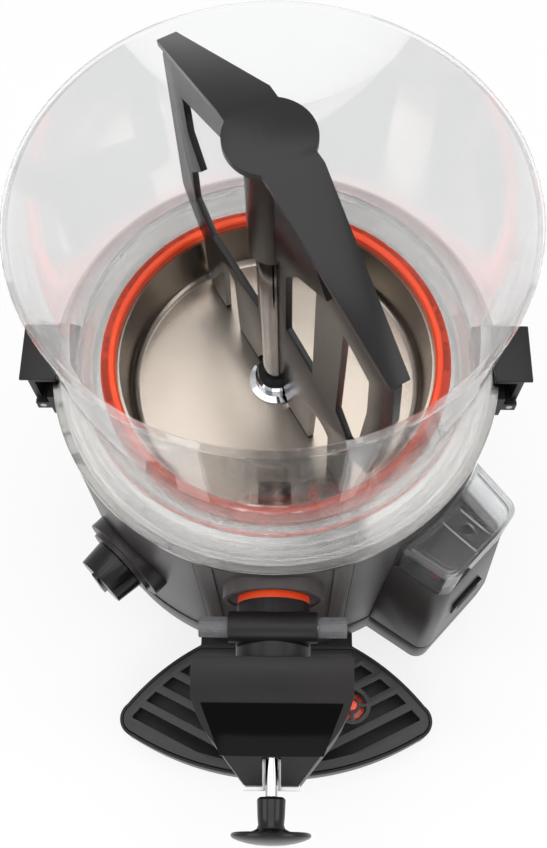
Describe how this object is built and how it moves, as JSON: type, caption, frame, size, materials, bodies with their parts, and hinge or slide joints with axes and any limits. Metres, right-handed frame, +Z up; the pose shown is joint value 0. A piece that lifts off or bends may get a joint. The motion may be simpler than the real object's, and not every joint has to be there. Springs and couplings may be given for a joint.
{
  "type": "hot drink dispenser",
  "caption": "Countertop hot chocolate dispenser: clear open bowl with a stirrer over a heated pan, a piston tap with a lever, drip tray, side water tank, thermostat and bowl latches.",
  "frame": {"origin": "the point on the floor under the bowl's axis, about which the stirrer turns", "axes": "+Z up along the bowl's axis; the tap, the lever and the drip tray face -Y; +X is to the right of someone who stands in front of the tap, so the side water tank is at +X and the thermostat at -X"},
  "size_m": [0.312, 0.4246, 0.436],
  "materials": {
    "foot_rubber": "moulded, matte",
    "casing_plastic": "moulded, satin",
    "panel_plastic": "moulded, satin",
    "pan_steel": "deep-drawn, turned satin",
    "chrome": "polished",
    "seal_rubber": "moulded, smooth",
    "orange_rubber": "moulded silicone, soft sheen",
    "clear_plastic": "moulded, clear and polished",
    "black_plastic": "moulded, satin",
    "gloss_black": "moulded, polished",
    "element_steel": "stainless, satin",
    "drive_metal": "cast and turned",
    "pale_plastic": "moulded, matte",
    "grey_plastic": "moulded, satin",
    "orange_plastic": "moulded, glossy"
  },
  "bodies": {
    "frame": {"rubber_feet": "foot_rubber", "base_plate": "casing_plastic", "tray_rails": "casing_plastic", "body_casing": "casing_plastic", "tank_column": "casing_plastic", "dial_plate": "casing_plastic", "front_panel": "panel_plastic", "heated_pan": "pan_steel", "water_jacket": "pan_steel", "bowl_deck": "pan_steel", "shaft_collar": "chrome", "lever_pin": "chrome", "latch_pin_left": "chrome", "latch_pin_right": "chrome", "shaft_seal": "seal_rubber", "bowl_gasket": "orange_rubber", "spout_gasket": "orange_rubber", "bowl": "clear_plastic", "water_tank": "clear_plastic", "tap_body": "black_plastic", "tap_hood": "black_plastic", "latch_bracket_left": "black_plastic", "latch_bracket_right": "black_plastic", "cable_inlet": "black_plastic", "hood_plate": "gloss_black", "switch_frame": "gloss_black", "heating_element": "element_steel", "lever_bracket": "element_steel", "drive_motor": "drive_metal", "motor_mount": "drive_metal", "gearbox": "drive_metal", "thermostat": "drive_metal", "terminal_block": "pale_plastic"},
    "agitator": {"stirrer": "black_plastic", "stirrer_shaft": "chrome"},
    "thermostat_dial": {"thermostat_knob": "gloss_black", "dial_spindle": "chrome"},
    "lever": {"tap_lever": "chrome", "lever_knob": "gloss_black"},
    "piston": {"tap_piston": "black_plastic", "piston_ring": "seal_rubber"},
    "cross_pin": {"cross_pin": "chrome", "pin_grips": "grey_plastic"},
    "latch_left": {"latch_left": "black_plastic"},
    "latch_right": {"latch_right": "black_plastic"},
    "tray": {"drip_tray": "black_plastic"},
    "grille": {"tray_grille": "grey_plastic"},
    "float": {"level_float": "orange_plastic"},
    "tank_lid": {"tank_lid": "clear_plastic"},
    "rocker": {"switch_rocker": "gloss_black"}
  },
  "joints": [
    {"name": "stirrer_turn", "type": "hinge", "parent": "frame", "child": "agitator", "pos_m": [0, 0, 0.3], "axis": [0, 0, 1], "continuous": true},
    {"name": "thermostat_turn", "type": "hinge", "parent": "frame", "child": "thermostat_dial", "pos_m": [-0.09725, -0.10071, 0.135], "axis": [0.6947, 0.7193, 0], "range_deg": [0, 270]},
    {"name": "lever_press", "type": "hinge", "parent": "frame", "child": "lever", "pos_m": [0, -0.229, 0.188], "axis": [1, 0, 0], "range_deg": [0, 18.66]},
    {"name": "piston_lift", "type": "slide", "parent": "frame", "child": "piston", "axis": [0, 0, 1], "range_m": [0, 0.0081]},
    {"name": "pin_turn", "type": "hinge", "parent": "frame", "child": "cross_pin", "pos_m": [0, -0.163, 0.2046], "axis": [1, 0, 0], "range_deg": [0, 90]},
    {"name": "left_latch_swing", "type": "hinge", "parent": "frame", "child": "latch_left", "pos_m": [-0.147, 0, 0.203], "axis": [0, -1, 0], "range_deg": [0, 60]},
    {"name": "right_latch_swing", "type": "hinge", "parent": "frame", "child": "latch_right", "pos_m": [0.147, 0, 0.203], "axis": [0, 1, 0], "range_deg": [0, 60]},
    {"name": "tray_pull", "type": "slide", "parent": "frame", "child": "tray", "axis": [0, -1, 0], "range_m": [0, 0.1]},
    {"name": "grille_lift", "type": "slide", "parent": "tray", "child": "grille", "axis": [0, 0, 1], "range_m": [0, 0.03]},
    {"name": "float_rise", "type": "slide", "parent": "tray", "child": "float", "axis": [0, 0, 1], "range_m": [0, 0.0065]},
    {"name": "tank_lid_lift", "type": "slide", "parent": "frame", "child": "tank_lid", "axis": [0, 0, 1], "range_m": [0, 0.03]},
    {"name": "switch_rock", "type": "hinge", "parent": "frame", "child": "rocker", "pos_m": [0.12477, -0.11635, 0.11], "axis": [0.682, 0.7314, 0], "range_deg": [-8, 8]}
  ],
  "couplings": [
    {"joint": "piston_lift", "follows": "lever_press", "m_per_rad": 0.02456}
  ]
}
